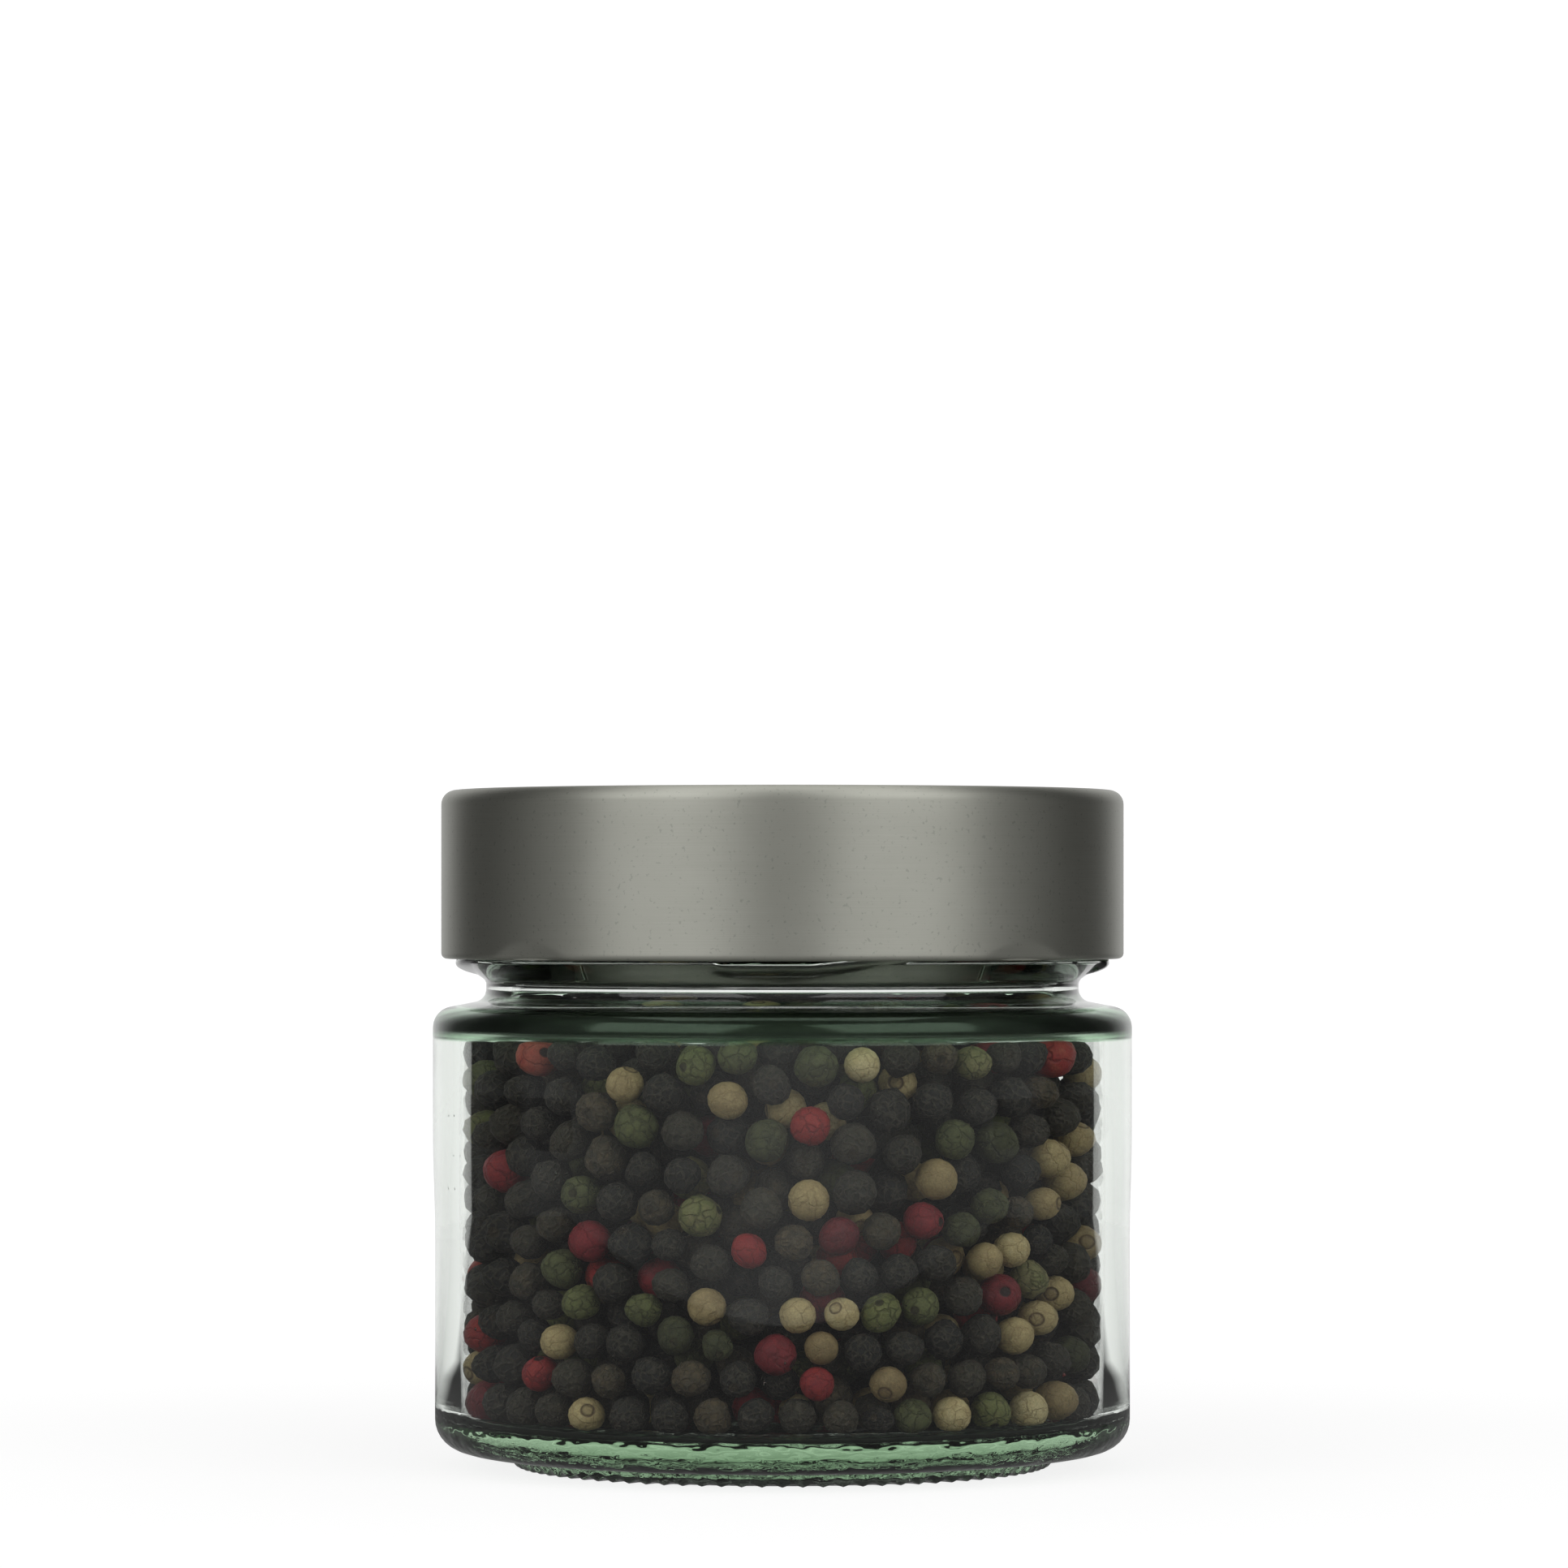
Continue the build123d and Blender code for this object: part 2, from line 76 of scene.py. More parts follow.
RIDGE_LEVEL, RIDGE_HALF_HEIGHT, RIDGE_STAND = 52.75, 1.0, 1.3
RIDGE_FROM, RIDGE_CLIMBS_FROM, RIDGE_TO = -8.0, 5.0, 76.0
RIDGE_RISE, RIDGE_FALL = 4.7, 3.0
RIDGE_SQUARENESS, FAR_OFF = 2.4, 3
SEED_COUNT, SEED_DRAWS = 34, 5
SEED_RADIUS, SEED_STRETCH = (0.05, 0.16), (1.0, 1.7)
SEED_DEPTH, SEED_HEIGHT = (34.4, 35.9), (5, 45)


def rounded(corners, bend_degrees=12):
    """Points along an outline in radius and height, in millimetres. Each corner is given
    with the radius of its rounding and the longest step on the run that leads to it."""
    places = [np.array(corner[:2], float) for corner in corners]
    points = [places[0]]

    def run_to(end, step):
        start = points[-1]
        length = np.linalg.norm(end - start)
        if length > SHORTEST_RUN:
            count = math.ceil(length / step)
            points.extend(start + (end - start) * k / count for k in range(1, count + 1))

    for k in range(1, len(corners) - 1):
        here, rounding, step = places[k], corners[k][2], corners[k][3]
        ahead = (here - places[k - 1]) / np.linalg.norm(here - places[k - 1])
        away = (places[k + 1] - here) / np.linalg.norm(places[k + 1] - here)
        cross = ahead[0] * away[1] - ahead[1] * away[0]
        turn = math.atan2(cross, ahead @ away)
        run_to(here - ahead * rounding * math.tan(abs(turn) / 2), step)
        if rounding:
            side = math.copysign(1, turn)
            middle = points[-1] + rounding * side * np.array([-ahead[1], ahead[0]])
            spoke = points[-1] - middle
            bends = max(2, math.ceil(math.degrees(abs(turn)) / bend_degrees))
            for bend in range(1, bends + 1):
                a = turn * bend / bends
                turned = (spoke[0] * math.cos(a) - spoke[1] * math.sin(a),
                          spoke[0] * math.sin(a) + spoke[1] * math.cos(a))
                points.append(middle + np.array(turned))
    run_to(places[-1], corners[-1][3])
    return np.array(points)


def turned_piece(name, outline, steps_around, closed_loop=False, reshape=None):
    """A smooth mesh turned about the jar's axis. Rows that lie on the axis become one point,
    and reshape may move the grid's radius and height where the piece isn't round."""
    rows = len(outline)
    radius = np.repeat(outline[:, :1], steps_around, axis=1)
    height = np.repeat(outline[:, 1:], steps_around, axis=1)
    turns = np.arange(steps_around)[None, :] * 2 * np.pi / steps_around
    angle = np.repeat(turns, rows, axis=0)
    if reshape:
        radius, height = reshape(radius, height, angle)
    grid = np.stack([radius * np.sin(angle), -radius * np.cos(angle), height], axis=-1) * MM
    along = np.concatenate([[0], np.cumsum(np.linalg.norm(np.diff(outline, axis=0), axis=1))])

    row_pairs = [(k, k + 1) for k in range(rows - 1)] + ([(rows - 1, 0)] if closed_loop else [])
    faces, corner_places = [], []
    for lower, upper in row_pairs:
        low, high = along[lower] * MM, along[upper if upper else -1] * MM
        for step in range(steps_around):
            after = (step + 1) % steps_around
            faces.append((lower * steps_around + step, lower * steps_around + after,
                          upper * steps_around + after, upper * steps_around + step))
            left, right = step / steps_around, (step + 1) / steps_around
            corner_places += [left, low, right, low, right, high, left, high]
    mesh = bpy.data.meshes.new(name)
    mesh.from_pydata(grid.reshape(-1, 3).tolist(), [], faces)
    mesh.uv_layers.new(name="wrap").data.foreach_set("uv", corner_places)

    shell = bmesh.new()
    shell.from_mesh(mesh)
    bmesh.ops.remove_doubles(shell, verts=shell.verts, dist=SAME_PLACE)
    bmesh.ops.recalc_face_normals(shell, faces=shell.faces)
    shell.to_mesh(mesh)
    shell.free()
    mesh.shade_smooth()
    piece = bpy.data.objects.new(name, mesh)
    scene.collection.objects.link(piece)
    return piece


def ridges_and_bars(radius, height, angle):
    """Lifts the four thread ridges off the finish, and presses the bars into the foot. Along
    a ridge, degrees count from its start, and those past its reach count as before it."""
    degrees = (np.degrees(angle) + 180) % 360 - 180
    outside = (radius > FINISH_OUTSIDE) & (height > FINISH_FROM) & (height < FINISH_TO)
    for k in range(RIDGE_COUNT):
        along = (degrees - RIDGE_SPACING * k - RIDGE_REACH) % 360 - (360 - RIDGE_REACH)
        climbing = np.clip(along - RIDGE_CLIMBS_FROM, 0, RIDGE_TO - RIDGE_CLIMBS_FROM)
        above = height - RIDGE_LEVEL - THREAD_LEAD / 360 * climbing
        off_end = (np.maximum(RIDGE_FROM - along, 0) / RIDGE_RISE
                   + np.maximum(along - RIDGE_TO, 0) / RIDGE_FALL)
        off = np.hypot(off_end, above / RIDGE_HALF_HEIGHT)
        stand = RIDGE_STAND * (1 - np.minimum(off, FAR_OFF) ** RIDGE_SQUARENESS)
        radius = np.where(outside, np.maximum(radius, FINISH_RADIUS + stand), radius)

    gap = (0.5 - 0.5 * np.cos(BAR_COUNT * angle)) ** BAR_BLUNTNESS
    reach = (np.clip((radius - BARS_FROM) / BARS_RISE, 0, 1)
             * np.clip((BARS_TO - radius) / BARS_FALL, 0, 1))
    height = np.where(height < FOOT_TOP, height + BAR_DEPTH * gap * reach, height)
    return radius, height


glass_outline = rounded([
    (0, 2.75, 0, 1), (12.1, 2.75, 290, 6), (24.3, 1.75, 0, 6), (25.3, 1.75, 0.3, 1),
    (25.3, 0, 0.6, 0.5), (27.95, 0, 0.8, 0.35), (29.35, 1.75, 0.3, 0.4),
    (36.45, 1.75, 3.25, 2), (36.45, 25.95, 150, 5), (36.675, 32.95, 150, 5),
    (36.675, 47.75, 2.2, 5), (31.1, 48.85, 1.4, 0.8), (31.1, 50.85, 0.8, 0.4),
    (33.8, 52.75, 0.12, 0.16), (33.8, 53.05, 0.12, 0.15), (33.0, 53.05, 0.12, 0.3),
    (33.0, 67.0, 1.2, 0.5), (32.2, 67.8, 0.5, 0.6), (32.2, 69.3, 1.2, 0.8),
    (28.5, 69.3, 1.2, 1.5), (28.5, 45.75, 3.8, 4), (33.8, 45.75, 1.1, 1.5),
    (33.8, 4.9, 1.3, 6), (32.5, 4.9, 0, 1), (16.25, 6.1, 440, 6), (0, 6.1, 0, 6),
])
glass_jar = turned_piece("glass_jar_wall", glass_outline, JAR_STEPS_AROUND, reshape=ridges_and_bars)

seeds = bmesh.new()
seeds.from_mesh(glass_jar.data)
chance = np.random.default_rng(SEED_DRAWS)
for _ in range(SEED_COUNT):
    size = chance.uniform(*SEED_RADIUS) * MM
    seed = bmesh.ops.create_icosphere(seeds, subdivisions=1, radius=size)["verts"]
    turn = chance.uniform(0, 2 * math.pi)
    depth = chance.uniform(*SEED_DEPTH) * MM
    bmesh.ops.scale(seeds, verts=seed, vec=(1, 1, chance.uniform(*SEED_STRETCH)))
    bmesh.ops.translate(seeds, verts=seed, vec=(
        depth * math.sin(turn), -depth * math.cos(turn), chance.uniform(*SEED_HEIGHT) * MM))
    seed_faces = {face for vert in seed for face in vert.link_faces}
    bmesh.ops.reverse_faces(seeds, faces=list(seed_faces))
seeds.to_mesh(glass_jar.data)
seeds.free()
glass_jar.data.shade_smooth()


def node_adder(tree):
    """A helper that adds nodes to a tree. Their inputs are plain values or other outputs."""
    def add(kind, inputs=None, **settings):
        node = tree.nodes.new(kind)
        for key, value in settings.items():
            setattr(node, key, value)
        for key, value in (inputs or {}).items():
            if isinstance(value, bpy.types.NodeSocket):
                tree.links.new(value, node.inputs[key])
            else:
                node.inputs[key].default_value = value
        return node

    return add


def new_finish(name):
    """A new material with its shader, and two helpers that add nodes and join them."""
    finish = bpy.data.materials.new(name)
    finish.use_nodes = True
    shader = finish.node_tree.nodes["Principled BSDF"]
    return finish, shader, node_adder(finish.node_tree), finish.node_tree.links


def worked_out(add, operation, *values):
    """What comes out of a sum, a product or another operation on values or outputs."""
    return add("ShaderNodeMath", dict(enumerate(values)), operation=operation).outputs[0]


def faded(add, value, span, results, **settings):
    """Goes from the first result to the second while a value goes through its span."""
    return add("ShaderNodeMapRange", {
        "Value": value, "From Min": span[0], "From Max": span[1],
        "To Min": results[0], "To Max": results[1],
    }, **settings).outputs[0]


def noise(add, place, scale, detail, roughness=0.5, stretch=None):
    """Cloudy noise from 0 to 1, finer along the directions that are stretched more."""
    if stretch:
        place = add("ShaderNodeMapping", {"Vector": place, "Scale": stretch}).outputs[0]
    return add("ShaderNodeTexNoise", {
        "Vector": place, "Scale": scale, "Detail": detail, "Roughness": roughness,
    }).outputs["Fac"]


def blended(add, share, first, second):
    """One colour that passes into another as the share goes from 0 to 1."""
    return add("ShaderNodeMix", {0: share, 6: first, 7: second}, data_type="RGBA").outputs[2]


def coloured(add, value, stops):
    """Colours along a value from 0 to 1. Each stop is a spot and the colour there."""
    ramp = add("ShaderNodeValToRGB", {"Fac": value})
    first, *between, last = stops
    spots = ramp.color_ramp.elements
    spots[0].position, spots[1].position = first[0], last[0]
    spots[0].color, spots[1].color = (*first[1], 1), (*last[1], 1)
    for spot, colour in between:
        spots.new(spot).color = (*colour, 1)
    return ramp.outputs["Color"]


WHITE = (1, 1, 1)
BASE_LEVELS, BASE_GREEN_AND_SHADE = (0.0035, 0.0065), (0.26, 0.31, 0.26)
SHOULDER_LEVEL, SHOULDER_HALF_HEIGHT = 0.0466, (0.0014, 0.0019)
SHOULDER_GREEN_AND_SHADE, SHOULDER_DULLNESS = (0.60, 0.86, 0.63, 1), 0.16

clear_glass, shader, add, links = new_finish("clear_green_glass")
shader.inputs["Transmission Weight"].default_value = 1
shader.inputs["IOR"].default_value = 1.52
place = add("ShaderNodeTexCoord").outputs["Object"]
level = add("ShaderNodeSeparateXYZ", {0: place}).outputs["Z"]
# The thick base is tinted a darker green: partly the green of its thick glass, partly painted shade
# that darkens what is seen through it.
above_base = faded(add, level, BASE_LEVELS, (0.0, 1.0))
thick_glass_and_painted_shade = coloured(add, above_base, [(0, BASE_GREEN_AND_SHADE), (1, WHITE)])
# Along the shoulder band the glass is tinted green in what passes through it, partly the green of the
# thick shoulder glass and partly painted shade.
from_shoulder = worked_out(add, "SUBTRACT", level, SHOULDER_LEVEL)
beside = worked_out(add, "ABSOLUTE", from_shoulder)
shoulder = faded(add, beside, SHOULDER_HALF_HEIGHT, (1.0, 0.0))
glass_tint_and_painted_shade = blended(add, shoulder, thick_glass_and_painted_shade, SHOULDER_GREEN_AND_SHADE)
links.new(glass_tint_and_painted_shade, shader.inputs["Base Color"])
# Reflections along the shoulder band are tinted green: a painted reflection.
painted_green_reflection = blended(add, shoulder, (*WHITE, 1), SHOULDER_GREEN_AND_SHADE)
links.new(painted_green_reflection, shader.inputs["Specular Tint"])

waves = noise(add, place, 1.0, 2.0, stretch=(60, 60, 16))
chill_marks = noise(add, place, 1.0, 1.0, stretch=(400, 400, 900))
in_base = faded(add, level, BASE_LEVELS, (5.0, 0.0))
uneven = worked_out(add, "MULTIPLY_ADD", chill_marks, in_base, waves)
ripple = add("ShaderNodeBump", {"Height": uneven, "Strength": 0.35, "Distance": 0.00012})
links.new(ripple.outputs[0], shader.inputs["Normal"])
film = faded(add, noise(add, place, 90.0, 4.0), (0.45, 0.8), (0.0, 0.035))
dull_glass = worked_out(add, "MULTIPLY_ADD", shoulder, SHOULDER_DULLNESS, film)
links.new(dull_glass, shader.inputs["Roughness"])

tint = add("ShaderNodeVolumeAbsorption", {"Color": (0.24, 0.78, 0.2, 1), "Density": 10.0})
output = clear_glass.node_tree.nodes["Material Output"]
links.new(tint.outputs[0], output.inputs["Volume"])
lamp_path = add("ShaderNodeLightPath").outputs["Is Shadow Ray"]
open_path = add("ShaderNodeBsdfTransparent", {"Color": (0.9, 0.93, 0.9, 1)})
passing = add("ShaderNodeMixShader", {0: lamp_path, 1: shader.outputs[0], 2: open_path.outputs[0]})
links.new(passing.outputs[0], output.inputs["Surface"])
glass_jar.data.materials.append(clear_glass)
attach(glass_jar, "jar")
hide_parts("glass_jar")


# Twist-off cap
# Drawn from one disc of tinplate. Its skirt is brushed round, its lower edge is rolled in,
# and four lugs are pressed out of the roll, which leaves a shallow flat outside each.
CAP_STEPS_AROUND = 360
CAP_RADIUS, SKIRT_FROM = 35.8, 32
CAP_BOTTOM, CAP_TOP = 53.15, 70.8
LUG_ANGLE, LUG_HALF_ANGLE, LUG_STEPS = 43.5, 5.6, 12
LUG_ROOT, LUG_LEVEL = 35.2, 53.46
LUG_BLUNTNESS, LUG_LEAST = 5, 0.02
LUG_END_REACH, LUG_MORE_REACH = 0.55, 0.45
DENT_DEPTH, DENT_RISE, DENT_HALF_ANGLE = 0.5, 1.9, 0.4
DENT_SOFTNESS = 0.04


def pressed_flats(radius, height, angle):
    """Pushes the skirt in above each lug, most at its lower edge."""
    degrees = np.degrees(angle)
    for k in range(RIDGE_COUNT):
        off = np.radians((degrees - LUG_ANGLE - RIDGE_SPACING * k + 180) % 360 - 180)
        fade = np.clip(1 - (height - CAP_BOTTOM) / DENT_RISE, 0, 1)
        press = DENT_DEPTH * fade - CAP_RADIUS * (1 - np.cos(off))
        press = 0.5 * (press + np.sqrt(press**2 + DENT_SOFTNESS**2)) - DENT_SOFTNESS / 2
        pressed = radius - np.maximum(press, 0) * (np.abs(off) < DENT_HALF_ANGLE)
        radius = np.where(radius > SKIRT_FROM, pressed, radius)
    return radius, height


cap_outline = rounded([
    (0, 70.2, 0, 6), (28.5, 70.2, 0.5, 6), (29.2, 70.8, 0.5, 0.4), (CAP_RADIUS, CAP_TOP, 1.5, 3),
    (CAP_RADIUS, 55.4, 0, 2.5), (CAP_RADIUS, CAP_BOTTOM, 0.6, 0.25), (34.6, CAP_BOTTOM, 0.6, 0.3),
    (34.6, 54.35, 0.55, 0.3), (35.5, 54.3, 0.3, 0.3), (35.5, 55.4, 0, 0.5),
    (35.5, 70.5, 1.2, 3), (29.2, 70.5, 0.5, 3), (28.5, 69.9, 0.5, 0.4), (0, 69.9, 0, 6),
])
twist_cap = turned_piece("twist_cap_sheet", cap_outline, CAP_STEPS_AROUND, reshape=pressed_flats)

lugs = bmesh.new()
lugs.from_mesh(twist_cap.data)
lug_section = rounded([
    (LUG_ROOT, 53.75, 0, 1), (33.9, 53.75, 0.25, 0.5), (33.4, 53.62, 0.2, 0.2),
    (33.4, 53.3, 0.2, 0.2), (33.9, 53.17, 0.25, 0.3), (LUG_ROOT, 53.17, 0, 0.5),
], 30)
for k in range(RIDGE_COUNT):
    rings = []
    for step in range(LUG_STEPS + 1):
        side = step / (LUG_STEPS / 2) - 1
        turn = math.radians(LUG_ANGLE + RIDGE_SPACING * k + LUG_HALF_ANGLE * side)
        narrow = math.sqrt(max(1 - abs(side) ** LUG_BLUNTNESS, LUG_LEAST))
        reach = LUG_END_REACH + LUG_MORE_REACH * narrow
        ring = []
        for radius, height in lug_section:
            out = (LUG_ROOT - (LUG_ROOT - radius) * reach) * MM
            up = (LUG_LEVEL + (height - LUG_LEVEL) * narrow) * MM
            ring.append(lugs.verts.new((out * math.sin(turn), -out * math.cos(turn), up)))
        rings.append(ring)
    made = []
    for ring, following in zip(rings, rings[1:]):
        for i in range(len(ring)):
            j = (i + 1) % len(ring)
            made.append(lugs.faces.new((ring[i], ring[j], following[j], following[i])))
    made += [lugs.faces.new(rings[0]), lugs.faces.new(rings[-1])]
    bmesh.ops.recalc_face_normals(lugs, faces=made)
lugs.to_mesh(twist_cap.data)
lugs.free()
twist_cap.data.shade_smooth()

DARKER_TIN, PALER_TIN = (0.465, 0.468, 0.412), (0.540, 0.543, 0.487)
CLOUD_SHARE = 0.4

brushed_tin, shader, add, links = new_finish("brushed_tin")
shader.inputs["Metallic"].default_value = 1
shader.inputs["Anisotropic"].default_value = 0.75
shader.inputs["Anisotropic Rotation"].default_value = 0.25
place = add("ShaderNodeTexCoord").outputs["Object"]
wrap = add("ShaderNodeUVMap", uv_map="wrap").outputs[0]
lie = add("ShaderNodeTangent", direction_type="UV_MAP", uv_map="wrap")
links.new(lie.outputs[0], shader.inputs["Tangent"])
brushing = noise(add, wrap, 1.0, 4.0, 0.6, stretch=(14, 14000, 1))
clouds = noise(add, place, 120.0, 5.0)
tones = add("ShaderNodeMix", {0: CLOUD_SHARE, 2: brushing, 3: clouds}).outputs[0]
tone = coloured(add, tones, [(0.3, DARKER_TIN), (0.7, PALER_TIN)])
fleck = faded(add, noise(add, place, 2600.0, 2.0), (0.30, 0.36), (0.82, 1.0))
flecked = add("ShaderNodeVectorMath", {0: tone, "Scale": fleck}, operation="SCALE")
links.new(flecked.outputs[0], shader.inputs["Base Color"])
links.new(faded(add, brushing, (0.0, 1.0), (0.44, 0.56)), shader.inputs["Roughness"])
grooves = add("ShaderNodeBump", {"Height": brushing, "Strength": 0.25, "Distance": 0.00002})
links.new(grooves.outputs[0], shader.inputs["Normal"])
twist_cap.data.materials.append(brushed_tin)
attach(twist_cap, "cap")
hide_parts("twist_cap")


# Sealing ring
# Soft pale compound, run into the channel of the cap and cured there. Its lower face keeps
# the shallow groove that the rim of the glass has pressed.
SEAL_STEPS_AROUND = 240
DARKER_COMPOUND, PALER_COMPOUND = (0.66, 0.64, 0.58), (0.78, 0.76, 0.71)

seal_outline = rounded([
    (29.5, 70.5, 0, 1), (29.5, 69.45, 0.5, 0.3), (30.0, 69.3, 0.4, 0.3), (30.2, 69.36, 0.3, 0.3),
    (31.4, 69.36, 0.3, 0.3), (31.7, 69.3, 0.4, 0.3), (33.6, 69.3, 0.3, 0.3), (34.0, 69.6, 0.4, 0.3),
    (34.0, 70.5, 0, 1),
], 20)
sealing_ring = turned_piece("sealing_compound_ring", seal_outline, SEAL_STEPS_AROUND, closed_loop=True)
sealing_compound, shader, add, links = new_finish("sealing_compound")
place = add("ShaderNodeTexCoord").outputs["Object"]
flow = noise(add, place, 160.0, 4.0)
tone = coloured(add, flow, [(0, DARKER_COMPOUND), (1, PALER_COMPOUND)])
links.new(tone, shader.inputs["Base Color"])
links.new(faded(add, flow, (0.0, 1.0), (0.45, 0.65)), shader.inputs["Roughness"])
dimples = add("ShaderNodeBump", {"Height": flow, "Strength": 0.3, "Distance": 0.0001})
links.new(dimples.outputs[0], shader.inputs["Normal"])
sealing_ring.data.materials.append(sealing_compound)
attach(sealing_ring, "seal")
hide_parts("sealing_ring")


# Peppercorns
# Whole dried berries of four kinds, poured in loose: wrinkled black, olive green, smooth
# white with a stalk scar, and thin-shelled pink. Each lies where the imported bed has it.
STEPS_A_METRE = 1e7
WRINKLE_MIDDLE = 0.44
MOST_SHRUNK, MOST_GROWN = -0.75, 0.25
ANY_TURN = (6.283, 6.283, 6.283)


def berry_places(node):
    """The middle and radius of each ball of a CAD node, from the balls' connected triangles."""
    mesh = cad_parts[node].data
    points = np.empty(len(mesh.vertices) * 3)
    mesh.vertices.foreach_get("co", points)
    points = points.reshape(-1, 3)
    mesh.calc_loop_triangles()
    corners = np.empty(len(mesh.loop_triangles) * 3, np.int64)
    mesh.loop_triangles.foreach_get("vertices", corners)
    steps = np.round(points * STEPS_A_METRE).astype(np.int64)
    spots, merged = np.unique(steps, axis=0, return_inverse=True)
    corners = merged.reshape(-1)[corners].reshape(-1, 3)
    group = np.arange(len(spots))
    while True:
        lowest = group[corners].min(axis=1)
        grown = group.copy()
        for k in range(3):
            np.minimum.at(grown, corners[:, k], lowest)
        grown = grown[grown]
        if (grown == group).all():
            break
        group = grown
    places = spots / STEPS_A_METRE
    names, ball = np.unique(group, return_inverse=True)
    low = np.full((len(names), 3), np.inf)
    high = np.full((len(names), 3), -np.inf)
    np.minimum.at(low, ball, places)
    np.maximum.at(high, ball, places)
    return (low + high) / 2, (high - low)[:, 2] / 2


def round_block(name, cuts):
    """A ball of a few dozen near-square faces, one unit in radius."""
    block = bmesh.new()
    bmesh.ops.create_cube(block, size=2)
    bmesh.ops.subdivide_edges(block, edges=block.edges, cuts=cuts, use_grid_fill=True)
    for vert in block.verts:
        vert.co = vert.co * math.pi / 4
        vert.co = [math.tan(share) for share in vert.co]
        vert.co.normalize()
    mesh = bpy.data.meshes.new(name)
    block.to_mesh(mesh)
    block.free()
    mesh.shade_smooth()
    ball = bpy.data.objects.new(name, mesh)
    scene.collection.objects.link(ball)
    return ball


def berry_tree(name, ball, finish):
    """Geometry Nodes that set a berry on each point, turned at random and a little uneven."""
    tree = bpy.data.node_groups.new(name, "GeometryNodeTree")
    for title, way, kind in (
            ("Places", "INPUT", "Geometry"), ("Berries", "OUTPUT", "Geometry"),
            ("Unevenness", "INPUT", "Float"), ("Wrinkle Depth", "INPUT", "Float"),
            ("Wrinkle Scale", "INPUT", "Float"), ("Seed", "INPUT", "Int")):
        tree.interface.new_socket(title, in_out=way, socket_type="NodeSocket" + kind)
    add = node_adder(tree)

    given = add("NodeGroupInput").outputs
    source = add("GeometryNodeObjectInfo", {"Object": ball})
    skin = add("GeometryNodeInputPosition")
    marked = add("GeometryNodeStoreNamedAttribute", {
        "Geometry": source.outputs["Geometry"], "Name": "own_place", "Value": skin.outputs[0],
    }, data_type="FLOAT_VECTOR", domain="POINT")
    points = add("GeometryNodeMeshToPoints", {"Mesh": given["Places"]})
    size = add("GeometryNodeInputNamedAttribute", {"Name": "berry_radius"}, data_type="FLOAT")
    squash = add("FunctionNodeRandomValue", {
        "Min": worked_out(add, "MULTIPLY_ADD", given["Unevenness"], MOST_SHRUNK, 1.0),
        "Max": worked_out(add, "MULTIPLY_ADD", given["Unevenness"], MOST_GROWN, 1.0),
        "Seed": given["Seed"],
    }, data_type="FLOAT_VECTOR")
    scaled = add("ShaderNodeVectorMath", {
        0: squash.outputs["Value"], "Scale": size.outputs["Attribute"],
    }, operation="SCALE")
    turn = add("FunctionNodeRandomValue", {
        "Min": (0, 0, 0), "Max": ANY_TURN, "Seed": given["Seed"],
    }, data_type="FLOAT_VECTOR")
    set_out = add("GeometryNodeInstanceOnPoints", {
        "Points": points.outputs[0], "Instance": marked.outputs[0],
        "Rotation": turn.outputs["Value"], "Scale": scaled.outputs[0],
    })
    shade = add("FunctionNodeRandomValue", {"Seed": given["Seed"]}, data_type="FLOAT")
    toned = add("GeometryNodeStoreNamedAttribute", {
        "Geometry": set_out.outputs[0], "Name": "berry_tone", "Value": shade.outputs[1],
    }, data_type="FLOAT", domain="INSTANCE")
    real = add("GeometryNodeRealizeInstances", {"Geometry": toned.outputs[0]})

    spot = add("GeometryNodeInputPosition").outputs[0]
    crumple = noise(add, spot, given["Wrinkle Scale"], 1.0)
    lift = worked_out(add, "SUBTRACT", WRINKLE_MIDDLE, crumple)
    rise = worked_out(add, "MULTIPLY", lift, given["Wrinkle Depth"])
    outward = add("GeometryNodeInputNormal").outputs[0]
    shift = add("ShaderNodeVectorMath", {0: outward, "Scale": rise}, operation="SCALE")
    shaped = add("GeometryNodeSetPosition", {
        "Geometry": real.outputs[0], "Offset": shift.outputs[0],
    })
    finished = add("GeometryNodeSetMaterial", {"Geometry": shaped.outputs[0], "Material": finish})
    add("NodeGroupOutput", {"Berries": finished.outputs[0]})
    return tree


def pour(node, name, finish, cuts, unevenness, wrinkle_depth, wrinkle_scale, seed):
    """Makes the berries of one kind, as one plain mesh that stands for its CAD node."""
    places, radii = berry_places(node)
    start = bpy.data.meshes.new(name + "_places")
    start.from_pydata(places.tolist(), [], [])
    start.attributes.new("berry_radius", "FLOAT", "POINT").data.foreach_set("value", radii)
    spread = bpy.data.objects.new(name + "_places", start)
    scene.collection.objects.link(spread)
    ball = round_block(name + "_block", cuts)
    grower = spread.modifiers.new("berries", "NODES")
    grower.node_group = berry_tree(name + "_tree", ball, finish)
    settings = {"Unevenness": unevenness, "Wrinkle Depth": wrinkle_depth,
                "Wrinkle Scale": wrinkle_scale, "Seed": seed}
    for item in grower.node_group.interface.items_tree:
        if item.name in settings:
            grower[item.identifier] = settings[item.name]
    look = bpy.context.evaluated_depsgraph_get()
    mesh = bpy.data.meshes.new_from_object(
        spread.evaluated_get(look), preserve_all_data_layers=True, depsgraph=look)
    spread.modifiers.remove(grower)
    bpy.data.objects.remove(spread)
    bpy.data.objects.remove(ball)
    mesh.shade_smooth()
    berries = bpy.data.objects.new(name, mesh)
    scene.collection.objects.link(berries)
    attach(berries, "jar")
    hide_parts(node)


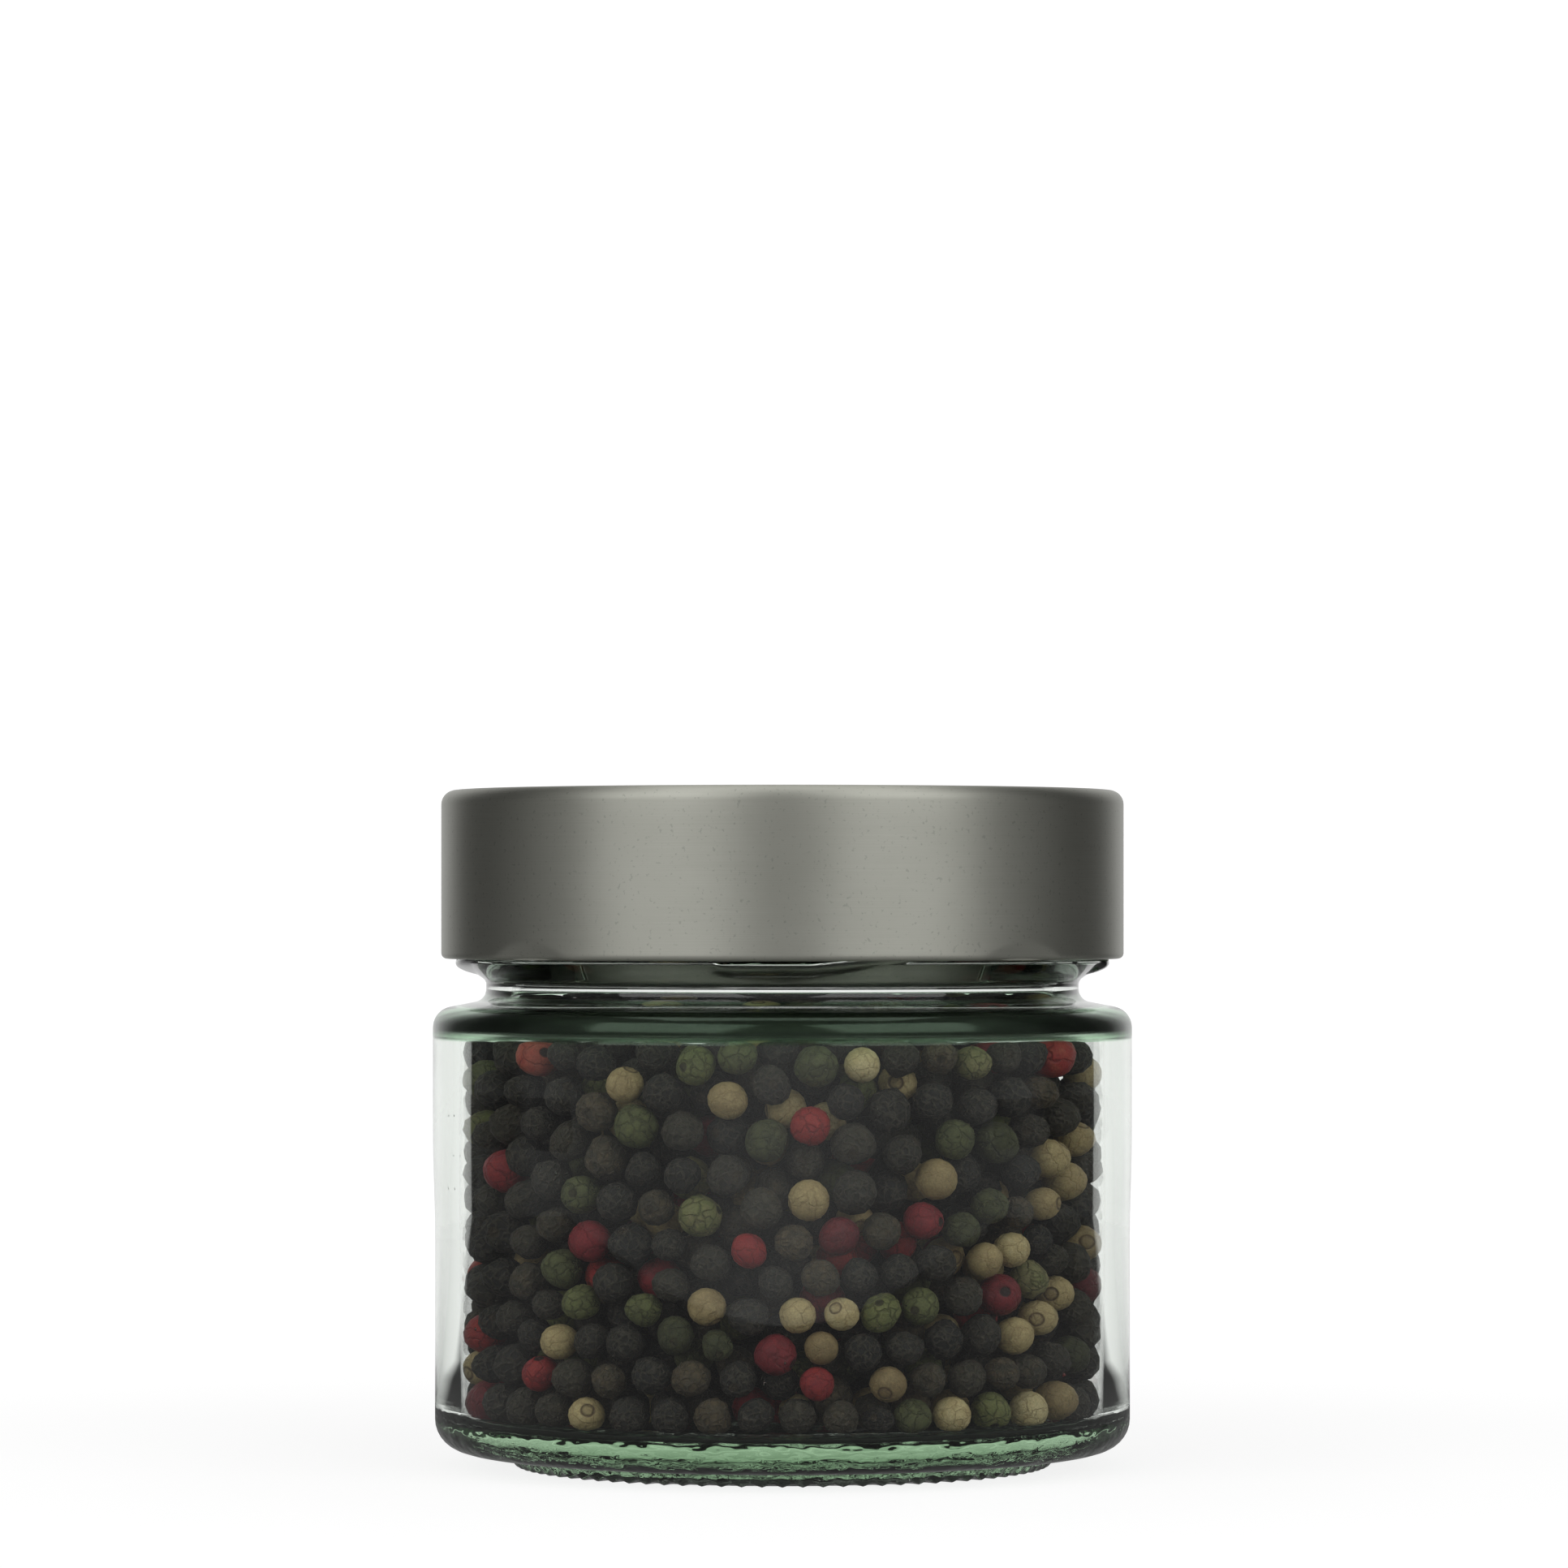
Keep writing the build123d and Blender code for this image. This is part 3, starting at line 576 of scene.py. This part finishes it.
def berry_finish(name, roughness, tones, folds, scar):
    """A dried skin. Each berry has its own tone of the four given, with mottling, a net of folds that
    is raised or sunk, lighter as a painted highlight where raised and darker as painted shade where
    sunk, fine grain, and the scar of its stalk at one end."""
    finish, shader, add, links = new_finish(name)
    shader.inputs["Specular IOR Level"].default_value = 0.35
    own = add("ShaderNodeAttribute", attribute_name="own_place").outputs["Vector"]
    shade = add("ShaderNodeAttribute", attribute_name="berry_tone").outputs["Fac"]
    apart = add("ShaderNodeVectorMath", {0: (37.0, 17.0, 53.0), "Scale": shade}, operation="SCALE")
    spot = add("ShaderNodeVectorMath", {0: own, 1: apart.outputs[0]}, operation="ADD").outputs[0]
    grain = noise(add, spot, 9.0, 5.0, 0.65)

    mottling = worked_out(add, "MULTIPLY_ADD", noise(add, spot, 1.7, 3.0), 0.7, -0.35)
    toned = worked_out(add, "ADD", shade, mottling)
    colour = coloured(add, toned, list(zip((0, 0.45, 0.8, 1), tones)))
    speckle = faded(add, grain, (0.3, 0.7), (0.7, 1.2))
    speckled = add("ShaderNodeVectorMath", {0: colour, "Scale": speckle}, operation="SCALE")

    twist = add("ShaderNodeTexNoise", {"Vector": spot, "Scale": 2.2, "Detail": 2.0})
    twisted = add("ShaderNodeVectorMath", {
        0: twist.outputs["Color"], 1: (0.55, 0.55, 0.55), 2: spot,
    }, operation="MULTIPLY_ADD").outputs[0]
    # The fold net is coloured as painted light: a painted highlight on raised folds, painted shade in
    # sunk folds.
    net = add("ShaderNodeTexVoronoi", {
        "Vector": twisted, "Scale": folds["scale"],
    }, feature="DISTANCE_TO_EDGE").outputs["Distance"]
    fold = faded(add, net, (0.0, folds["width"]), (1.0, 0.0), interpolation_type="SMOOTHSTEP")
    fold_painted_light_share = worked_out(add, "MULTIPLY", fold, folds["share"])
    skin_with_painted_fold_light = blended(add, fold_painted_light_share, speckled.outputs[0], (*folds["colour"], 1))

    unsure = worked_out(add, "MULTIPLY_ADD", grain, 0.03, -0.015)
    outward = add("ShaderNodeVectorMath", {0: own}, operation="NORMALIZE").outputs[0]
    along = add("ShaderNodeSeparateXYZ", {0: outward}).outputs["Z"]
    ring = coloured(add, worked_out(add, "ADD", along, unsure), [
        (scar["start"], (0, 0, 0)), (scar["edge"], WHITE), (scar["end"], (scar["core"],) * 3)])
    skin = blended(add, ring, skin_with_painted_fold_light, (*scar["colour"], 1))
    links.new(skin, shader.inputs["Base Color"])

    dull = faded(add, grain, (0.0, 1.0), (roughness - 0.12, roughness + 0.12))
    links.new(dull, shader.inputs["Roughness"])
    uneven = worked_out(add, "MULTIPLY_ADD", fold, folds["rise"], grain)
    sunk = worked_out(add, "MULTIPLY_ADD", ring, -1.0, uneven)
    relief = add("ShaderNodeBump", {"Height": sunk, "Strength": 1.0, "Distance": 0.00016})
    links.new(relief.outputs[0], shader.inputs["Normal"])
    return finish


# Each kind's fold colour is painted light: lighter on the raised folds of black pepper, darker in the
# sunk folds of the others.
black_skin = berry_finish(
    "black_pepper_skin", 0.66,
    [(0.012, 0.011, 0.011), (0.024, 0.021, 0.018), (0.044, 0.038, 0.027), (0.095, 0.070, 0.042)],
    dict(scale=2.3, width=0.20, rise=1.6, share=0.45, colour=(0.085, 0.072, 0.055)),
    dict(start=0.955, edge=0.975, end=1.0, core=1.0, colour=(0.04, 0.03, 0.02)))
green_skin = berry_finish(
    "green_pepper_skin", 0.6,
    [(0.045, 0.046, 0.024), (0.105, 0.112, 0.046), (0.160, 0.168, 0.062), (0.21, 0.19, 0.09)],
    dict(scale=1.5, width=0.10, rise=-1.3, share=0.4, colour=(0.050, 0.052, 0.026)),
    dict(start=0.965, edge=0.98, end=1.0, core=1.0, colour=(0.045, 0.04, 0.02)))
white_skin = berry_finish(
    "white_pepper_skin", 0.5,
    [(0.24, 0.17, 0.085), (0.40, 0.30, 0.15), (0.50, 0.39, 0.20), (0.58, 0.48, 0.27)],
    dict(scale=1.1, width=0.07, rise=-0.5, share=0.4, colour=(0.26, 0.18, 0.09)),
    dict(start=0.90, edge=0.935, end=0.975, core=0.25, colour=(0.11, 0.07, 0.04)))
pink_skin = berry_finish(
    "pink_pepper_skin", 0.42,
    [(0.10, 0.014, 0.020), (0.22, 0.022, 0.030), (0.33, 0.034, 0.032), (0.40, 0.09, 0.06)],
    dict(scale=1.0, width=0.07, rise=-0.6, share=0.5, colour=(0.12, 0.014, 0.018)),
    dict(start=0.955, edge=0.975, end=1.0, core=1.0, colour=(0.025, 0.012, 0.012)))

pour("black_peppercorns", "black_pepper_berries", black_skin,
     cuts=2, unevenness=0.15, wrinkle_depth=0.0008, wrinkle_scale=420, seed=1)
pour("green_peppercorns", "green_pepper_berries", green_skin,
     cuts=3, unevenness=0.13, wrinkle_depth=0.0009, wrinkle_scale=400, seed=2)
pour("white_peppercorns", "white_pepper_berries", white_skin,
     cuts=3, unevenness=0.06, wrinkle_depth=0.0002, wrinkle_scale=420, seed=3)
pour("pink_peppercorns", "pink_pepper_berries", pink_skin,
     cuts=3, unevenness=0.10, wrinkle_depth=0.0006, wrinkle_scale=320, seed=4)


# Floor, backdrop and light
# The jar stands on a white floor before a white card, and the floor carries a painted shadow near
# the jar. Two large soft panels, above and beside the viewpoint, and one overhead light it
# evenly. The room beyond them is dim.
FLOOR_SIDE, FLOOR_FRONT, FLOOR_BACK, CARD_HEIGHT = 1.4, -0.3, 1.0, 0.8
# Painted shadow on the floor: seen through the glass it is dark within UNDER_JAR and clears by
# BESIDE_JAR, and to the eye it fades out from BESIDE_JAR to FAR_FROM_JAR.
UNDER_JAR, BESIDE_JAR, FAR_FROM_JAR = 0.03, 0.06, 0.4
BEHIND_NARROWS, BEHIND_FADE = -0.8, 0.03
LEAST_BACK, LEAST_ASIDE = 0.02, 0.03
DIM_CARD, CARD_GREY = 0.04, 0.22
JAR_MIDDLE = 0.04


def stage_card(name, corners, white_in_painted_shadow, in_glass):
    """A white card. To the eye it glows to white, most of all far off, and less near the jar as a
    painted shadow. It shows straight through the glass from all sides, with a painted shadow under
    and beside the jar. Thrown back inside the glass, it shows only where it lies behind the jar,
    and mirrored on the outside it is brightest there."""
    finish, shader, add, links = new_finish(name)
    shader.inputs["Roughness"].default_value = 1
    shader.inputs["Specular IOR Level"].default_value = 0
    shader.inputs["Emission Color"].default_value = (*WHITE, 1)
    rays = add("ShaderNodeLightPath").outputs
    place = add("ShaderNodeTexCoord").outputs["Object"]
    off = add("ShaderNodeVectorMath", {0: place}, operation="LENGTH").outputs["Value"]
    spread = add("ShaderNodeSeparateXYZ", {0: place}).outputs
    aside = worked_out(add, "ABSOLUTE", spread["X"])

    behind = worked_out(add, "MULTIPLY_ADD", aside, BEHIND_NARROWS, spread["Y"])
    # Seen straight through the glass, the floor is dark under and beside the jar: a painted shadow.
    straight = faded(add, off, (UNDER_JAR, BESIDE_JAR), (0.0, in_glass))
    thrown_back = faded(add, behind, (0.0, BEHIND_FADE), (0.0, in_glass))
    bounces = worked_out(add, "ADD", rays["Glossy Depth"], rays["Diffuse Depth"])
    bounced = worked_out(add, "GREATER_THAN", bounces, 0.5)
    clear = add("ShaderNodeMix", {0: bounced, 2: straight, 3: thrown_back}).outputs[0]

    back = worked_out(add, "MAXIMUM", spread["Y"], LEAST_BACK)
    slant = worked_out(add, "DIVIDE", worked_out(add, "ADD", aside, LEAST_ASIDE), back)
    beyond = faded(add, slant, (0.5, 1.0), (0.8, 0.07))
    before = faded(add, spread["Y"], (0.0, 0.1), (0.13, 0.0))
    mirrored = worked_out(add, "ADD", beyond, before)

    # To the eye the floor is less white near the jar: a painted shadow.
    white = faded(add, off, (BESIDE_JAR, FAR_FROM_JAR), (white_in_painted_shadow, 1.0))
    seen = worked_out(add, "MULTIPLY", rays["Is Camera Ray"], white)
    reflected = worked_out(add, "MULTIPLY", rays["Is Glossy Ray"], mirrored)
    indirect = add("ShaderNodeMix", {0: rays["Is Transmission Ray"], 2: reflected, 3: clear})
    glow = worked_out(add, "ADD", seen, indirect.outputs[0])
    links.new(glow, shader.inputs["Emission Strength"])
    shaded = faded(add, rays["Is Camera Ray"], (0.0, 1.0), (DIM_CARD, CARD_GREY))
    links.new(shaded, shader.inputs["Base Color"])

    mesh = bpy.data.meshes.new(name)
    mesh.from_pydata(corners, [], [(0, 1, 2, 3)])
    card = bpy.data.objects.new(name, mesh)
    scene.collection.objects.link(card)
    mesh.materials.append(finish)


stage_card("floor", [
    (-FLOOR_SIDE, FLOOR_FRONT, 0), (FLOOR_SIDE, FLOOR_FRONT, 0),
    (FLOOR_SIDE, FLOOR_BACK, 0), (-FLOOR_SIDE, FLOOR_BACK, 0),
], white_in_painted_shadow=0.84, in_glass=0.96)
stage_card("back_card", [
    (-FLOOR_SIDE, FLOOR_BACK, 0), (FLOOR_SIDE, FLOOR_BACK, 0),
    (FLOOR_SIDE, FLOOR_BACK, CARD_HEIGHT), (-FLOOR_SIDE, FLOOR_BACK, CARD_HEIGHT),
], white_in_painted_shadow=1.0, in_glass=1.0)


def soft_panel(name, place, size, brightness):
    """A square lamp that looks at the jar."""
    lamp = bpy.data.lights.new(name, "AREA")
    lamp.shape = "RECTANGLE"
    lamp.size, lamp.size_y = size
    lamp.energy = brightness * size[0] * size[1] * math.pi
    panel = bpy.data.objects.new(name, lamp)
    panel.location = place
    away = np.array(place) - np.array([0, 0, JAR_MIDDLE])
    panel.rotation_euler = (math.atan2(math.hypot(away[0], away[1]), away[2]), 0,
                            math.atan2(away[1], away[0]) + math.pi / 2)
    scene.collection.objects.link(panel)


soft_panel("panel_left", (-0.85, -0.95, 0.75), (1.3, 1.1), brightness=1.68)
soft_panel("panel_right", (0.85, -0.95, 0.75), (1.3, 1.1), brightness=1.68)
soft_panel("panel_above", (0, 0.05, 1.1), (1.0, 0.8), brightness=1.3)

ROOM_GREYS = [(0, 0.34), (0.05, 0.28), (0.12, 0.20), (0.53, 0.20),
              (0.58, 0.055), (0.88, 0.055), (0.95, 0.3), (1, 0.8)]

room = bpy.data.worlds.new("room")
scene.world = room
room.use_nodes = True
add = node_adder(room.node_tree)
direction = add("ShaderNodeTexCoord").outputs["Generated"]
backward = add("ShaderNodeSeparateXYZ", {0: direction}).outputs["Y"]
from_front = worked_out(add, "MULTIPLY_ADD", backward, 0.5, 0.5)
walls = coloured(add, from_front, [(spot, (grey, grey, grey)) for spot, grey in ROOM_GREYS])
rays = add("ShaderNodeLightPath").outputs
bounces = worked_out(add, "ADD", rays["Glossy Depth"], rays["Diffuse Depth"])
unbounced = worked_out(add, "LESS_THAN", bounces, 0.5)
straight = worked_out(add, "MULTIPLY", rays["Is Transmission Ray"], unbounced)
in_view = worked_out(add, "MAXIMUM", rays["Is Camera Ray"], straight)
shown = blended(add, in_view, walls, (*WHITE, 1))
room.node_tree.links.new(shown, room.node_tree.nodes["Background"].inputs["Color"])
